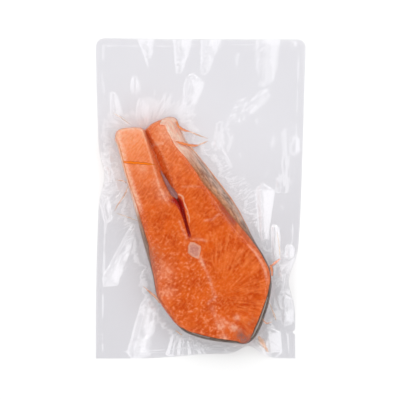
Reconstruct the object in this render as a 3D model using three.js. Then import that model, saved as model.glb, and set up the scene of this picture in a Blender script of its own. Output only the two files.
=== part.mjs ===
// Frozen salmon portion: one steak cut across the fish, sealed under vacuum in a clear flat bag and
// lying on its face. The pack is one closed solid with the outer form of the film: the steak stands up
// in it as a block with a cleft between its two belly flaps, and the two plies of the bag lie round it
// as a thin skirt with folds. X runs across the bag, Y along it and Z up, from the middle of its base.
import * as THREE from 'three';

// Driving dimensions, in millimetres
const STEAK_THICKNESS = 22;
const SKIRT_THICKNESS = 0.8;
const BAG_TOP = 123.5;
const BAG_BOTTOM = -123.3;
const BAG_LEFT = -80.7;
const BAG_RIGHT = 77.5;
const RIGHT_EDGE_SLANT = 0.029;
const CORNER_RADIUS = 6.5;

// The edges of the bag draw in where the vacuum gathers them: place along the edge, depth, half-width
const LEFT_DRAWS = [[17, 4.2, 10], [17, 2.4, 42]];
const RIGHT_DRAWS = [[-63, 6, 10.5], [-80, 2, 35]];
const BOTTOM_DRAWS = [[11, 3.9, 23], [37.5, 7.7, 7]];
const TOP_DRAWS = [[60, 1.1, 30], [-15, 0.8, 30]];

// Outline of the steak where it meets the table, clockwise from the corner of the left belly flap
const STEAK_OUTLINE = [
  [-66.4, 47.5], [-64.2, 52.6], [-54.5, 54.9], [-46.2, 54.9], [-43.2, 53.4], [-40.6, 55.4],
  [-37.1, 58.1], [-30.3, 61], [-23.5, 63], [-18.6, 61.4], [-15.8, 54.6], [-11.2, 43.7],
  [-3.3, 34.7], [12, 15.6], [28.7, -7.4], [41.3, -31.6], [48.4, -44.1], [53, -54],
  [54.5, -64.2], [53.2, -76.4], [49.3, -90.6], [44.9, -101.8], [40, -108.6], [34.2, -111.7],
  [27.6, -111.3], [9.4, -109.2], [-3.4, -106], [-13.2, -101.6], [-25.2, -88.6], [-33.5, -75.4],
  [-37.2, -58.4], [-44.2, -34.2], [-52, -3.3], [-59, 21.2], [-63.6, 39.2],
];

// Middle line of the steak: the cleft between the flaps, the backbone, and the seam behind it
const MIDDLE_LINE = [
  [-40.6, 47.6], [-37.7, 40.4], [-32.7, 28.4], [-23.1, 7.8], [-15.8, -4.2], [-9.3, -25.2],
  [-5, -38.9], [4.2, -55.1], [11.9, -80.5],
];
const BACKBONE = [-5, -38.9];
const BACKBONE_SPREAD = 3.2;
const BACKBONE_RISE = 0.7;

// Lean of the fish's axis from the bag's, and where things lie along it from the backbone
const AXIS_LEAN = THREE.MathUtils.degToRad(25);
const CLEFT_START = -109;
const CLEFT_END = -40;
const SLIT_END = -8;
const CLEFT_DEPTH = 5.5;
const SLIT_DEPTH = 1.6;

// Half-width of the valley over the cleft: least, most on each side, and where it widens and narrows
const LIP_MIN = 2.2;
const LEFT_LIP = 5.6;
const LEFT_LIP_RANGE = [-98, -40, -38, -24];
const RIGHT_LIP = 3.4;
const RIGHT_LIP_RANGE = [-98, -78, -72, -36];

// Direction from the start of the middle line to the notch between the flaps
const NOTCH_DIRECTION = [-0.348, 0.938];

// The skin slants outwards below the cut face, most along the right belly and at its flap's corner
const WALL_LEAN = 1.3;
const WALL_BULGE = 0.8;
const RIGHT_BELLY_LEAN = 6;
const RIGHT_SHOULDER_LEAN = 4;
const RIGHT_BACK_RANGE = [-4, 28];
const RIGHT_FLAP_END = [-32, -22];
const RIGHT_CORNER = [-18.6, 61.4];
const RIGHT_CORNER_LEAN = 2.3;
const LEFT_BACK_LEAN = 3.2;
const EDGE_DROP = 1.9;
const EDGE_REACH = 2.6;
const FACE_DOME = 0.7;

// The film leaves the side of the steak at this height and comes down to the table over this reach
const TENT_HEIGHT = 6.5;
const TENT_REACH = 10;
const FLAP_TENT_REACH = 24;
const TENT_ROOM = 0.85;
const TENT_WAVES = [[31, 0.22, 0.4], [17, 0.2, 2.1], [11, 0.12, 4.4]];

// Folds and swells of the skirt: start, end, half-width at both, height at both
const FOLDS = [
  [-41.2, 124, -38.1, 100, 6, 1.6, 1.9, 0.4],
  [-13, 124, -15.8, 97, 7.5, 2.2, 2.4, 0.7],
  [9, 124, 3.5, 96, 8, 2.6, 2.5, 0.8],
  [52.5, 124, 51, 90, 9, 6, 2.8, 1.9],
  [50, 80, 30, 60.5, 5, 2.8, 1.7, 0.9],
  [-4.2, 90, -11.2, 59, 8, 2.4, 2.5, 0.8],
  [-66.6, 81, -64.3, 65, 2.8, 4.5, 0.8, 1.4],
  [-43.9, 74, -43.9, 60, 4, 5.5, 1.1, 1.7],
  [43, 60, 43, 14, 24, 24, 1, 1],
  [50, 6, 49, -32, 7.5, 3, 2.7, 1],
  [57.8, -22, 58.5, -46, 3.2, 3.2, 1.1, 1.1],
  [56, -64, 63.5, -85, 3.2, 3.2, 1.1, 1.1],
  [67, -77, 67, -95, 5, 4.5, 1.6, 1.5],
  [55, -104, 56.5, -119, 7, 6, 2, 1.8],
  [-50.8, -22, -68.9, -64, 3, 7, 1, 2.2],
  [-38.5, -82, -47, -119, 7, 8.5, 2.1, 2.5],
  [-74, 1, -70.5, -16, 4, 4, 1.2, 1.2],
];

// Places where the edge of the bag stands off the table: centre, half-width and height
const EDGE_LIFTS = [
  [-75, 17, 13, 5],
  [71, -64, 13, 6],
  [38, -116, 10, 6],
  [10, -121, 18, 2.5],
  [60, 123, 26, 2.2],
  [-30, 124, 34, 1.6],
];
const LIFT_START = 9;

// Fineness of the surface: points round each ring, and how far out each skirt ring lies
const AROUND = 200;
const OUTLINE_SAMPLES = 1600;
const EDGE_SAMPLES = 220;
const CORNER_SAMPLES = 22;
const BAG_SHARE = 0.42;
const CORNER_SHARE = 0.1;
const TOP_SKIRT_RINGS = [1, 0.86, 0.7, 0.54, 0.4, 0.28, 0.18, 0.1, 0.04];
const LOWER_SKIRT_RINGS = [0.12, 0.36, 0.66, 1];
const FACE_RINGS = [0.93, 0.8, 0.6, 0.38, 0.18];
const VALLEY_SHARE = 0.6;
const VALLEY_BOTTOM_SHARE = 0.25;

const FILM_COLOUR = 0xdedde3;
const FILM_ROUGHNESS = 0.18;

const bell = (distance, spread) => Math.exp(-(distance * distance) / (2 * spread * spread));
const smooth = THREE.MathUtils.smoothstep;
const lerp = THREE.MathUtils.lerp;

function drawnIn(along, draws) {
  return draws.reduce((sum, [place, depth, spread]) => sum + depth * bell(along - place, spread), 0);
}

// Distance from the backbone along the fish's axis, belly negative and back positive
function alongFish(x, y) {
  const dx = x - BACKBONE[0];
  const dy = y - BACKBONE[1];
  return dx * Math.sin(AXIS_LEAN) - dy * Math.cos(AXIS_LEAN);
}

// Distance from the backbone across the fish's axis
function acrossFish(x, y) {
  const dx = x - BACKBONE[0];
  const dy = y - BACKBONE[1];
  return dx * Math.cos(AXIS_LEAN) + dy * Math.sin(AXIS_LEAN);
}

// Four edges that draw in, with rounded top corners and square bottom ones, clockwise
function bagOutline() {
  const leftEdge = (y) => BAG_LEFT + drawnIn(y, LEFT_DRAWS);
  const rightEdge = (y) => BAG_RIGHT + RIGHT_EDGE_SLANT * y - drawnIn(y, RIGHT_DRAWS);
  const topEdge = (x) => BAG_TOP - drawnIn(x, TOP_DRAWS);
  const bottomEdge = (x) => BAG_BOTTOM + drawnIn(x, BOTTOM_DRAWS);
  const points = [];
  const side = (from, to, place) => {
    for (let i = 0; i < EDGE_SAMPLES; i += 1) {
      points.push(new THREE.Vector2(...place(lerp(from, to, i / EDGE_SAMPLES))));
    }
  };
  const corner = (x, y, start) => {
    for (let i = 0; i < CORNER_SAMPLES; i += 1) {
      const turn = start - (Math.PI / 2) * (i / CORNER_SAMPLES);
      const offset = new THREE.Vector2(Math.cos(turn), Math.sin(turn)).multiplyScalar(CORNER_RADIUS);
      points.push(offset.add(new THREE.Vector2(x, y)));
    }
  };
  const cornerY = BAG_TOP - CORNER_RADIUS;
  const leftX = leftEdge(cornerY) + CORNER_RADIUS;
  const rightX = rightEdge(cornerY) - CORNER_RADIUS;
  side(leftX, rightX, (x) => [x, topEdge(x)]);
  corner(rightX, topEdge(rightX) - CORNER_RADIUS, Math.PI / 2);
  side(cornerY, BAG_BOTTOM, (y) => [rightEdge(y), y]);
  side(rightEdge(BAG_BOTTOM), leftEdge(BAG_BOTTOM), (x) => [x, bottomEdge(x)]);
  side(BAG_BOTTOM, cornerY, (y) => [leftEdge(y), y]);
  corner(leftX, topEdge(leftX) - CORNER_RADIUS, Math.PI);
  return points;
}

// Where a ray from one point through another leaves the bag
function leavesBag(from, through, edge) {
  const dx = through.x - from.x;
  const dy = through.y - from.y;
  let found = null;
  for (let i = 0; i < edge.length; i += 1) {
    const a = edge[i];
    const b = edge[(i + 1) % edge.length];
    const ex = b.x - a.x;
    const ey = b.y - a.y;
    const cross = dx * ey - dy * ex;
    if (Math.abs(cross) < 1e-9) continue;
    const reach = ((a.x - from.x) * ey - (a.y - from.y) * ex) / cross;
    const share = ((a.x - from.x) * dy - (a.y - from.y) * dx) / cross;
    if (reach > 0 && share >= 0 && share <= 1 && (found === null || reach < found)) found = reach;
  }
  return new THREE.Vector2(from.x + dx * found, from.y + dy * found);
}

// Spokes that run from the middle line through the steak's outline to the edge of the bag. They are
// spread so that both outlines get a share of the points, with more where the bag's edge turns.
function makeSpokes() {
  const edge = bagOutline();
  const closed = new THREE.CatmullRomCurve3(
    STEAK_OUTLINE.map(([x, y]) => new THREE.Vector3(x, y, 0)), true, 'centripetal');
  const middle = new THREE.CatmullRomCurve3(
    MIDDLE_LINE.map(([x, y]) => new THREE.Vector3(x, y, 0)), false, 'centripetal');
  const middlePoints = middle.getSpacedPoints(OUTLINE_SAMPLES);
  const middleAlong = middlePoints.map((p) => alongFish(p.x, p.y));
  const outline = closed.getSpacedPoints(OUTLINE_SAMPLES).slice(0, OUTLINE_SAMPLES);
  const spokes = outline.map((foot, i) => {
    const along = alongFish(foot.x, foot.y);
    let nearest = middleAlong.findIndex((value) => value >= along);
    if (nearest < 0) nearest = OUTLINE_SAMPLES;
    const root = middlePoints[nearest];
    return { root, foot, rim: leavesBag(root, foot, edge), travel: i / OUTLINE_SAMPLES };
  });
  const steakLength = closed.getLength();
  const steps = spokes.map((spoke, i) => (
    spokes[(i + 1) % spokes.length].rim.clone().sub(spoke.rim)));
  const bagLength = steps.reduce((sum, step) => sum + step.length(), 0);
  const turns = steps.map((step, i) => {
    const following = steps[(i + 1) % steps.length];
    return Math.abs(step.cross(following)) / (step.length() * following.length());
  });
  const allTurns = turns.reduce((sum, turn) => sum + turn, 0);
  const measure = [0];
  steps.forEach((step, i) => {
    const share = (1 - BAG_SHARE - CORNER_SHARE) / OUTLINE_SAMPLES
      + (BAG_SHARE * step.length()) / bagLength + (CORNER_SHARE * turns[i]) / allTurns;
    measure.push(measure[measure.length - 1] + share);
  });
  const picked = [];
  let next = 0;
  for (let i = 0; i < OUTLINE_SAMPLES && next < AROUND; i += 1) {
    if (measure[i] * AROUND >= next) {
      picked.push({ ...spokes[i], length: steakLength });
      next += 1;
    }
  }
  const corners = [
    [BAG_RIGHT + RIGHT_EDGE_SLANT * BAG_BOTTOM - drawnIn(BAG_BOTTOM, RIGHT_DRAWS), BAG_BOTTOM],
    [BAG_LEFT + drawnIn(BAG_BOTTOM, LEFT_DRAWS), BAG_BOTTOM],
  ];
  corners.forEach(([x, y]) => {
    const corner = new THREE.Vector2(x, y);
    const closest = picked.reduce((best, spoke) => (
      spoke.rim.distanceTo(corner) < best.rim.distanceTo(corner) ? spoke : best));
    closest.rim = corner;
  });
  return picked;
}

function wallLean(foot) {
  const along = alongFish(foot.x, foot.y);
  if (acrossFish(foot.x, foot.y) > 0) {
    const fromCorner = Math.hypot(foot.x - RIGHT_CORNER[0], foot.y - RIGHT_CORNER[1]);
    const belly = RIGHT_BELLY_LEAN + RIGHT_SHOULDER_LEAN * bell(along + 22, 20)
      + RIGHT_CORNER_LEAN * bell(fromCorner, 9);
    return WALL_LEAN + belly * (1 - smooth(along, ...RIGHT_BACK_RANGE)) * smooth(foot.x, ...RIGHT_FLAP_END);
  }
  return WALL_LEAN + LEFT_BACK_LEAN * bell(along + 15, 24);
}

// Half-width of the valley over the cleft, which narrows to the slit in front of the backbone
function valleyLip(along, side) {
  const most = side > 0 ? RIGHT_LIP : LEFT_LIP;
  const [opens, open, closes, closed] = side > 0 ? RIGHT_LIP_RANGE : LEFT_LIP_RANGE;
  return LIP_MIN + most * smooth(along, opens, open) * (1 - smooth(along, closes, closed));
}

// Distance from the cleft's line, which runs on past the spoke's root to the notch between the flaps
function fromCleft(x, y, root) {
  const dx = x - root.x;
  const dy = y - root.y;
  const past = dx * NOTCH_DIRECTION[0] + dy * NOTCH_DIRECTION[1];
  return past > 0 ? Math.abs(dx * NOTCH_DIRECTION[1] - dy * NOTCH_DIRECTION[0]) : Math.hypot(dx, dy);
}

// Height of the cut face: a slight dome, the cleft and slit, and the backbone standing proud
function faceHeight(x, y, fromEdge, fromMiddle, side) {
  const along = alongFish(x, y);
  const valley = 1 - smooth(fromMiddle / valleyLip(along, side), 0, 1);
  const cleftOpens = smooth(along, CLEFT_START, CLEFT_START + 22);
  const cleftCloses = 1 - smooth(along, CLEFT_END - 12, CLEFT_END + 6);
  const slitOpens = smooth(along, CLEFT_END - 20, CLEFT_END);
  const slitCloses = 1 - smooth(along, SLIT_END - 6, SLIT_END);
  const cleft = CLEFT_DEPTH * cleftOpens * cleftCloses;
  const slit = SLIT_DEPTH * slitOpens * slitCloses;
  const fromBone = Math.hypot(x - BACKBONE[0], y - BACKBONE[1]);
  const bone = BACKBONE_RISE * bell(fromBone, BACKBONE_SPREAD);
  const dome = FACE_DOME * smooth(fromEdge, 0, 30);
  return STEAK_THICKNESS - FACE_DOME + dome - EDGE_DROP * Math.exp(-fromEdge / EDGE_REACH)
    - (cleft + slit) * valley + bone;
}

// Height of the skirt's underside: straight-sided ridges with rounded ends, and the lifted edges
function skirtHeight(x, y, fromSteak) {
  let height = 0;
  FOLDS.forEach(([x0, y0, x1, y1, firstWidth, lastWidth, firstRise, lastRise]) => {
    const length = Math.hypot(x1 - x0, y1 - y0);
    const ux = (x1 - x0) / length;
    const uy = (y1 - y0) / length;
    const along = (x - x0) * ux + (y - y0) * uy;
    const beyond = Math.max(0, -along, along - length);
    const across = (x - x0) * uy - (y - y0) * ux;
    const share = Math.min(Math.max(along / length, 0), 1);
    const width = lerp(firstWidth, lastWidth, share);
    const rise = lerp(firstRise, lastRise, share);
    height += rise * Math.max(0, 1 - Math.hypot(across, beyond) / width);
  });
  EDGE_LIFTS.forEach(([cx, cy, spread, rise]) => {
    height += rise * bell(Math.hypot(x - cx, y - cy), spread);
  });
  return height * smooth(fromSteak, 0, LIFT_START);
}

function tentShape(spoke) {
  const along = alongFish(spoke.foot.x, spoke.foot.y);
  const flapEnd = 1 - smooth(along, CLEFT_START + 4, CLEFT_START + 22);
  const place = spoke.travel * spoke.length;
  const wave = TENT_WAVES.reduce((sum, [period, share, phase]) => (
    sum + share * Math.sin((2 * Math.PI * place) / period + phase)), 1);
  const room = Math.hypot(spoke.rim.x - spoke.foot.x, spoke.rim.y - spoke.foot.y) * TENT_ROOM;
  return {
    height: TENT_HEIGHT * wave,
    reach: Math.min(room, lerp(TENT_REACH, FLAP_TENT_REACH, flapEnd) * wave),
  };
}

// One ring of points, one for each spoke
function ring(spokes, place) {
  return spokes.map((spoke) => place(spoke));
}

function onSkirt(spoke, share, top) {
  const x = lerp(spoke.foot.x, spoke.rim.x, share);
  const y = lerp(spoke.foot.y, spoke.rim.y, share);
  const out = Math.hypot(x - spoke.foot.x, y - spoke.foot.y);
  const under = skirtHeight(x, y, out);
  if (!top) return [x, y, under];
  const tent = spoke.tent.height * Math.max(0, 1 - out / spoke.tent.reach) ** 2;
  return [x, y, under + SKIRT_THICKNESS + tent];
}

function onFace(spoke, reach) {
  const x = spoke.root.x + spoke.out.x * reach;
  const y = spoke.root.y + spoke.out.y * reach;
  return [x, y, faceHeight(x, y, spoke.face - reach, fromCleft(x, y, spoke.root), spoke.side)];
}

// The wall bulges a little between the film's foot and the cut face's edge
function onWall(spoke, share) {
  const lean = spoke.lean * share;
  const bulge = WALL_BULGE * Math.sin(Math.PI * share);
  const low = SKIRT_THICKNESS + spoke.tent.height;
  const edge = onFace(spoke, spoke.face)[2];
  return [
    spoke.foot.x - spoke.out.x * (lean - bulge),
    spoke.foot.y - spoke.out.y * (lean - bulge),
    lerp(low, edge, share),
  ];
}

function packGeometry() {
  const spokes = makeSpokes();
  spokes.forEach((spoke) => {
    const across = new THREE.Vector2(spoke.foot.x - spoke.root.x, spoke.foot.y - spoke.root.y);
    spoke.halfWidth = across.length();
    spoke.out = across.normalize();
    spoke.lean = wallLean(spoke.foot);
    spoke.side = acrossFish(spoke.foot.x, spoke.foot.y) - acrossFish(spoke.root.x, spoke.root.y);
    spoke.tent = tentShape(spoke);
    spoke.face = spoke.halfWidth - spoke.lean;
    spoke.lip = Math.min(valleyLip(alongFish(spoke.root.x, spoke.root.y), spoke.side), spoke.face * 0.8);
  });

  const positions = [];
  const triangles = [];
  const add = (points) => points.map((point) => positions.push(...point) / 3 - 1);
  const band = (outer, inner) => {
    outer.forEach((a, i) => {
      const b = outer[(i + 1) % outer.length];
      const c = inner[(i + 1) % inner.length];
      triangles.push(a, inner[i], b, b, inner[i], c);
    });
  };
  // Every second point of a ring carries on to the ring inside it
  const halfBand = (outer, inner) => {
    inner.forEach((a, i) => {
      const b = inner[(i + 1) % inner.length];
      const [p, q, r] = [outer[2 * i], outer[2 * i + 1], outer[(2 * i + 2) % outer.length]];
      triangles.push(p, a, q, q, a, b, q, b, r);
    });
  };
  const cap = (loop, upward) => {
    const flat = loop.map((v) => new THREE.Vector2(positions[3 * v], positions[3 * v + 1]));
    const faces = THREE.ShapeUtils.triangulateShape(flat, []);
    faces.forEach(([a, b, c]) => {
      const area = THREE.ShapeUtils.area([flat[a], flat[b], flat[c]]);
      const turned = (area > 0) === upward ? [a, b, c] : [a, c, b];
      triangles.push(...turned.map((k) => loop[k]));
    });
  };

  const skirt = TOP_SKIRT_RINGS.map((share) => add(ring(spokes, (s) => onSkirt(s, share, true))));
  const wall = [0, 0.35, 0.7, 1].map((share) => add(ring(spokes, (s) => onWall(s, share))));
  const face = FACE_RINGS.map((share) => add(ring(spokes, (s) => (
    onFace(s, s.lip + (s.face - s.lip) * share)))));
  const half = spokes.filter((spoke, i) => i % 2 === 0);
  const quarter = half.filter((spoke, i) => i % 2 === 0);
  const lip = add(ring(half, (s) => onFace(s, s.lip)));
  const valley = add(ring(half, (s) => onFace(s, s.lip * VALLEY_SHARE)));
  const bottom = add(ring(quarter, (s) => onFace(s, s.lip * VALLEY_BOTTOM_SHARE)));
  const outside = [...skirt, ...wall, ...face];
  outside.slice(1).forEach((inner, i) => band(outside[i], inner));
  halfBand(face[face.length - 1], lip);
  band(lip, valley);
  halfBand(valley, bottom);
  cap(bottom, true);

  const base = add(ring(spokes, (s) => [s.foot.x - s.out.x, s.foot.y - s.out.y, 0]));
  const lower = LOWER_SKIRT_RINGS.map((share) => add(ring(spokes, (s) => onSkirt(s, share, false))));
  const under = [base, ...lower];
  under.slice(1).forEach((outer, i) => band(under[i], outer));
  band(lower[lower.length - 1], skirt[0]);
  cap(base, false);

  const geometry = new THREE.BufferGeometry();
  geometry.setAttribute('position', new THREE.Float32BufferAttribute(positions, 3));
  geometry.setIndex(triangles);
  geometry.computeVertexNormals();
  return geometry;
}

const film = new THREE.MeshStandardMaterial({
  color: FILM_COLOUR,
  roughness: FILM_ROUGHNESS,
  metalness: 0,
});
const pack = new THREE.Mesh(packGeometry(), film);
pack.name = 'vacuum_pack';

const group = new THREE.Group();
group.add(pack);

export default group;
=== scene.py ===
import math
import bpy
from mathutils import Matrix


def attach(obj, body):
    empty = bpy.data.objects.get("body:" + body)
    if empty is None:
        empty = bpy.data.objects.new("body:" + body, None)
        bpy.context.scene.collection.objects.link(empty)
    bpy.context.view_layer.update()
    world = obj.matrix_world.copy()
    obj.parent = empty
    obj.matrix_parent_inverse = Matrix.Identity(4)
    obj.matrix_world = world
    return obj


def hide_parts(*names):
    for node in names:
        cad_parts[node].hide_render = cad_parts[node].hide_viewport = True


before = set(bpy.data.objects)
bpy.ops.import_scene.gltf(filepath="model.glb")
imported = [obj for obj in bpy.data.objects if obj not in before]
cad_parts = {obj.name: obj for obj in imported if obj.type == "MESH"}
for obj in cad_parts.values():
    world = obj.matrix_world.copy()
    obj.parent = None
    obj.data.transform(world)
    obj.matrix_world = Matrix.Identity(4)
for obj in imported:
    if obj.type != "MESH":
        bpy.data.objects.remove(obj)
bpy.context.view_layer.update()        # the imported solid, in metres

# Frozen salmon portion: a steak cut across the fish, with its skin, backbone and belly cleft, sealed in a
# clear vacuum bag. Shapes are worked out in millimetres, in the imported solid's frame.
from types import SimpleNamespace

import bmesh
import bpy
import numpy as np

MM = 0.001

# The pack's driving sizes, as in the solid. A draw is where the vacuum draws an edge in: its place along
# the edge, depth and spread.
STEAK_THICKNESS = 22
BAG_TOP = 123.5
BAG_BOTTOM = -123.3
BAG_LEFT = -80.7
BAG_RIGHT = 77.5
RIGHT_EDGE_SLANT = 0.029
CORNER_RADIUS = 6.5
LEFT_DRAWS = [(17, 4.2, 10), (17, 2.4, 42)]
RIGHT_DRAWS = [(-63, 6, 10.5), (-80, 2, 35), (-102.8, 2.4, 0.9)]
BOTTOM_DRAWS = [(11, 3.9, 23), (37.5, 7.7, 7)]
TOP_DRAWS = [(60, 1.1, 30), (-15, 0.8, 30)]
# The steak at its foot, clockwise from the left flap, and the line where its spokes start
STEAK_OUTLINE = [
    (-66.4, 47.5), (-64.2, 52.6), (-54.5, 54.9), (-46.2, 54.9), (-43.2, 53.4), (-40.6, 55.4),
    (-37.1, 58.1), (-30.3, 61), (-23.5, 63), (-18.6, 61.4), (-15.8, 54.6), (-11.2, 43.7),
    (-3.3, 34.7), (12, 15.6), (28.7, -7.4), (41.3, -31.6), (48.4, -44.1), (53, -54),
    (54.5, -64.2), (53.2, -76.4), (49.3, -90.6), (44.9, -101.8), (40, -108.6), (34.2, -111.7),
    (27.6, -111.3), (9.4, -109.2), (-3.4, -106), (-13.2, -101.6), (-25.2, -88.6), (-33.5, -75.4),
    (-37.2, -58.4), (-44.2, -34.2), (-52, -3.3), (-59, 21.2), (-63.6, 39.2),
]
MIDDLE_LINE = [
    (-40.6, 47.6), (-37.7, 40.4), (-32.7, 28.4), (-23.1, 7.8), (-15.8, -4.2), (-9.3, -25.2),
    (-5, -38.9), (4.2, -55.1), (11.9, -80.5),
]
BACKBONE = (-5, -38.9)
BACKBONE_SPREAD = 3.2
BACKBONE_RISE = 0.7
AXIS_LEAN = math.radians(25)
CLEFT_START = -109
CLEFT_END = -40
SLIT_END = -8
# Along the fish: where the cleft and the slit open, are open, close and are closed
CLEFT_STRETCH = (CLEFT_START, CLEFT_START + 22, CLEFT_END - 12, CLEFT_END + 6)
SLIT_STRETCH = (CLEFT_END - 20, CLEFT_END, SLIT_END - 6, SLIT_END)
FLAP_END_RANGE = (CLEFT_START + 4, CLEFT_START + 22)
LIP_MIN = 2.2
LIP_ROOM = 0.8           # of the way to the face's edge, which the lip takes at most
LEFT_LIP = (5.6, -98, -40, -38, -24)     # most, and the stretch of it
RIGHT_LIP = (3.4, -98, -78, -72, -36)
NOTCH_DIRECTION = (-0.348, 0.938)
WALL_LEAN = 1.3
WALL_BULGE = 0.8
RIGHT_BELLY_LEAN = 6
RIGHT_SHOULDER_LEANS = [(-22, 4, 20)]    # place along the fish, lean and spread
LEFT_BACK_LEANS = [(-15, 3.2, 24)]
RIGHT_BACK_RANGE = (-4, 28)
RIGHT_FLAP_END = (-32, -22)
RIGHT_CORNER = (-18.6, 61.4)
RIGHT_CORNER_LEAN = 2.3
RIGHT_CORNER_SPREAD = 9
EDGE_DROP = 1.9
EDGE_REACH = 2.6
FACE_DOME = 0.7
DOME_REACH = 30
TENT_HEIGHT = 6.5
TENT_REACH = 10
FLAP_TENT_REACH = 24
TENT_ROOM = 0.85
# Waves of the tent and fine ones in it: period along the outline, share and phase
TENT_WAVES = [(31, 0.22, 0.4), (17, 0.2, 2.1), (11, 0.12, 4.4)]
FINE_WAVES = [(6.3, 0.1, 1.3), (4.1, 0.07, 0.2), (2.9, 0.04, 3.3)]
FINE_HEIGHT = 0.2        # what the fine waves change of the tent's height and of its reach
FINE_REACH = 0.7
# Folds of the film: x and y of both ends, the half-width at each, and the rise at each
FOLDS = [
    (-41.2, 124, -38.1, 100, 6, 1.6, 1.9, 0.4),
    (-13, 124, -15.8, 97, 7.5, 2.2, 2.4, 0.7),
    (9, 124, 3.5, 96, 8, 2.6, 2.5, 0.8),
    (52.5, 124, 51, 90, 9, 6, 2.8, 1.9),
    (50, 80, 30, 60.5, 5, 2.8, 1.7, 0.9),
    (-4.2, 90, -11.2, 59, 8, 2.4, 2.5, 0.8),
    (-66.6, 81, -64.3, 65, 2.8, 4.5, 0.8, 1.4),
    (-43.9, 74, -43.9, 60, 4, 5.5, 1.1, 1.7),
    (43, 60, 43, 14, 24, 24, 1, 1),
    (50, 6, 49, -32, 7.5, 3, 2.7, 1),
    (57.8, -22, 58.5, -46, 3.2, 3.2, 1.1, 1.1),
    (56, -64, 63.5, -85, 3.2, 3.2, 1.1, 1.1),
    (67, -77, 67, -95, 5, 4.5, 1.6, 1.5),
    (55, -104, 56.5, -119, 7, 6, 2, 1.8),
    (-50.8, -22, -68.9, -64, 3, 7, 1, 2.2),
    (-38.5, -82, -47, -119, 7, 8.5, 2.1, 2.5),
    (-74, 1, -70.5, -16, 4, 4, 1.2, 1.2),
]
# Folds too narrow for the part's triangles, with the same columns
SMALL_FOLDS = [
    (30.5, 110, 29.5, 95, 2.4, 1.6, 0.7, 0.4),
    (72, 120, 72.4, 112, 2, 2, 0.6, 0.4),
    (32.7, 74, 21.2, 54, 3.8, 2.8, 1.2, 0.8),
    (-50, 94, -49.7, 83, 1.8, 4, 0.6, 1.2),
    (15.2, 58, 14.2, 41, 2.6, 5, 0.8, 1.6),
    (13.5, 40, 24.3, 25, 2, 1.5, 0.7, 0.4),
    (65, 52, 65.5, 5, 2.2, 2.2, 0.7, 0.7),
    (72.5, 46, 73, 36, 4, 4, 1.2, 1.2),
    (61.5, 16, 61, 5.5, 3, 3, 0.9, 0.9),
    (69, -38, 69, -45, 3.5, 3, 1, 0.9),
    (-20, -106, -22.5, -120, 1.6, 3.4, 0.6, 1),
    (-14, -108, -14.5, -120, 1.6, 3, 0.6, 0.9),
    (-8, -110, -5.5, -121, 1.6, 3, 0.6, 0.9),
    (-2.5, -111, 3, -121, 1.6, 3, 0.6, 0.9),
    (-71.5, 23, -71, 12, 2.6, 2.6, 0.9, 0.9),
]
# Where the skirt's edge stands up: x, y, spread and rise
EDGE_LIFTS = [
    (-75, 17, 13, 5),
    (71, -64, 13, 6),
    (38, -116, 10, 6),
    (10, -121, 18, 2.5),
    (60, 123, 26, 2.2),
    (-30, 124, 34, 1.6),
]
LIFT_START = 9          # from the steak, where the folds have their full height
CREST = 0.45            # where a fold's crest lies between its middle, 0, and its side, 1
CREST_RISE = 1.3        # times the solid's
FOLD_END = 1.3          # how steeply a fold's ends come down
WIDE_FOLD = 3.4         # half-width from which a fold's sides are flat facets
FACET_MARGIN = 0.15

# What the film and the steak add to the solid's form
CLEFT_DEPTH_FILM = 5.5
CLEFT_DEPTH_FLESH = 6.6
SLIT_DEPTH_FILM = 1.6
SLIT_DEPTH_FLESH = 2.4
SLIT_LIP_FLESH = 1.5    # half-width of the slit in the flesh
FILM_GAP = 0.25         # between the film and the flesh
PLY_TOP = 0.55          # height of the upper ply over the skirt's underside
PLY_LOW = 0.12
PLY_GAP = 0.1           # least, which keeps the plies clear of each other
CLING_GLOSS = 0.2       # of the film's gloss, where it clings to the steak
SEAL_WIDTH = 5
SEAL_RINGS_WIDTH = SEAL_WIDTH + 1.5     # of the close rings, and the share of the skirt they take at most
SEAL_RINGS_SHARE = 0.35
SIDE_RIBS = (1.25, 0.05)    # pitch and height of the ribs along the seals
END_RIBS = (1.9, 0.09)
END_RIBS_PLACE = 4.6        # from the bag's end to their middle
END_RIBS_SPREAD = 1.6
SKIN_THICKNESS = 0.8
BONE_RADIUS = 6.2
BONE_SINK = 1.6         # how far the flesh drops where the backbone stands
FLAKE_MOST = 0.15       # of the relief, so that it stays under the film
# Heights over the ground: the underside of the film and of the flesh, and the foot of each piece's side
FILM_BASE = 0.06
FLESH_BASE = 0.35
FLESH_FOOT = 0.6
SKIN_FOOT = 0.5
BONE_FOOT = 1
GRAIN_LEAN = math.radians(50)
# Uneven relief: size, seed and height of each swell
RIPPLES = [(17, 3, 0.16), (7, 4, 0.05)]
RIPPLES_START = (2, 10)     # from the steak
PLEATS = [(8, 21, 0.5), (4, 22, 0.25)]
PLEATS_STRETCH = (0, 3, 6, 22)      # from the steak
FLAKES = [(9, 11, 0.1), (3.2, 12, 0.08)]

AROUND = 640            # spokes
SAMPLES = 6400          # places on the outline that spokes are picked from
EDGE_SAMPLES = 220
CORNER_SAMPLES = 22
BAG_SHARE = 0.42        # of the spokes, spread by the bag's edge instead of by the outline
CORNER_SHARE = 0.06     # of the spokes, put where the bag's edge turns


def smooth(value, low, high):
    """0 below low, 1 above high, and 3t^2 - 2t^3 between."""
    t = np.clip((value - low) / (high - low), 0, 1)
    return t * t * (3 - 2 * t)


def bell(distance, spread):
    """A bell curve of height 1 and the given half-width."""
    return np.exp(-np.square(distance) / (2 * spread * spread))


def bells(value, rows):
    """Sum of bell curves, one for each row of place, height and spread."""
    return sum(height * bell(value - place, spread) for place, height, spread in rows)


def stretch(value, opens, is_open, closes, closed):
    """1 from is_open to closes, 0 before opens and after closed, and S-shaped between."""
    return smooth(value, opens, is_open) * (1 - smooth(value, closes, closed))


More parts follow.
